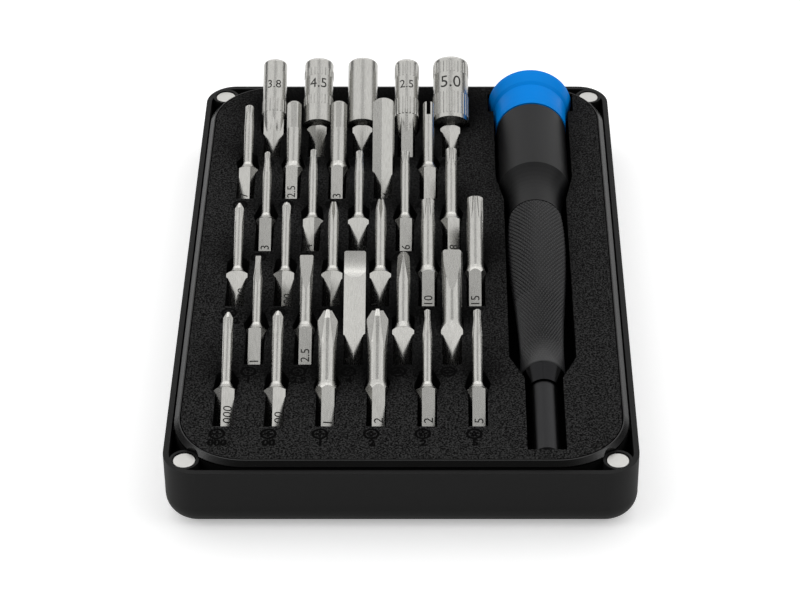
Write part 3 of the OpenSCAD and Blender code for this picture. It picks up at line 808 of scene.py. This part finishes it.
class DRIVERSET_OT_grip(bpy.types.Operator):
    """Makes the grip with its diamond knurl"""

    bl_idname = "driver_set.grip"
    bl_label = "Knurled grip"

    # Points for each diamond, along the grip and round it
    SAMPLES = 6
    # Reach of a groove, as a share of a diamond
    GROOVE_REACH = 0.3
    # Chamfer of the sleeve's two ends
    CHAMFER = 0.25 * MM
    # Place inside the sleeve where the core's radius is taken, from the front
    CORE_STATION = 1.0 * MM

    def surface(self, grip):
        """Points of the sleeve: radius(y) less the knurl, turned about the axis, then back along the core.

        Two sets of grooves wind opposite ways. With a = angle and y = place, their phases are
        p = diamonds * a / 2 pi + y / pitch and q = diamonds * a / 2 pi - y / pitch. A point's height over
        the grooves is the smaller distance of p and q from a whole number. A groove is a V that starts at
        its reach and is deepest where that height is nothing.
        """
        axis_x, axis_z, front, rear = driver_axis()
        rows = int(round((rear - front) / grip.pitch * self.SAMPLES)) + 1
        y = np.linspace(front, rear, rows)
        angle = np.arange(grip.diamonds * self.SAMPLES) / (grip.diamonds * self.SAMPLES) * 2 * np.pi
        radius = node_radius("grip_sleeve", axis_x, axis_z, y)
        turn = grip.diamonds * angle[None, :] / (2 * np.pi)
        climb = (np.arange(rows) / self.SAMPLES)[:, None]
        height = np.minimum(np.abs((turn + climb + 0.5) % 1 - 0.5), np.abs((turn - climb + 0.5) % 1 - 0.5))
        fade = np.clip(np.minimum((y - front) / grip.lead_in, (rear - y) / grip.margin), 0, 1)[:, None]
        groove = grip.depth * np.clip(1 - height / self.GROOVE_REACH, 0, 1) * fade
        edge = self.CHAMFER * np.clip(1 - np.minimum(y - front, rear - y) / self.CHAMFER, 0, 1)
        outer = radius[:, None] - groove - edge[:, None]
        inner_r = node_radius("handle_core", axis_x, axis_z, np.array([front + self.CORE_STATION]))[0]
        rings = np.vstack([outer, np.full((1, len(angle)), inner_r), np.full((1, len(angle)), inner_r)])
        stations = np.concatenate([y, [rear, front]])[:, None]
        return np.stack([axis_x + rings * np.cos(angle), np.broadcast_to(stations, rings.shape),
                         axis_z + rings * np.sin(angle)], -1)

    def execute(self, context):
        finish = settings().finish
        material = anodised_aluminium("anodised_grip", finish.grip_colour, roughness=0.42, gloss=0.3)
        parts = [grid(self.surface(settings().grip), True, True)]
        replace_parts(add_piece("knurled_grip", parts, material, "driver"), "grip_sleeve")
        return {"FINISHED"}


class DRIVERSET_PT_panel(bpy.types.Panel):
    """Lists the steps that dress the set, and the settings"""

    bl_idname = "DRIVERSET_PT_panel"
    bl_label = "Driver set"
    bl_space_type = "VIEW_3D"
    bl_region_type = "UI"
    bl_category = "Driver set"

    def draw(self, context):
        for step in OPERATORS:
            self.layout.operator(step.bl_idname)
        for part in SetSettings.__annotations__:
            group = getattr(settings(), part)
            box = self.layout.box()
            for name in group.__annotations__:
                box.prop(group, name)


OPERATORS = (
    DRIVERSET_OT_stage,
    DRIVERSET_OT_case,
    DRIVERSET_OT_foam,
    DRIVERSET_OT_bits,
    DRIVERSET_OT_driver,
    DRIVERSET_OT_grip,
)
GROUPS = (StageSettings, FinishSettings, GripSettings, MarkSettings, SetSettings)
CLASSES = GROUPS + OPERATORS + (DRIVERSET_PT_panel,)


def register():
    """Registers the classes and puts the settings on the scene."""
    for cls in CLASSES:
        bpy.utils.register_class(cls)
    bpy.types.Scene.driver_set = PointerProperty(type=SetSettings)


def unregister():
    """Takes back what register did."""
    del bpy.types.Scene.driver_set
    for cls in reversed(CLASSES):
        bpy.utils.unregister_class(cls)


def main():
    """Runs every step."""
    register()
    for step in OPERATORS:
        group, name = step.bl_idname.split(".")
        getattr(getattr(bpy.ops, group), name)()


if __name__ == "__main__":
    main()
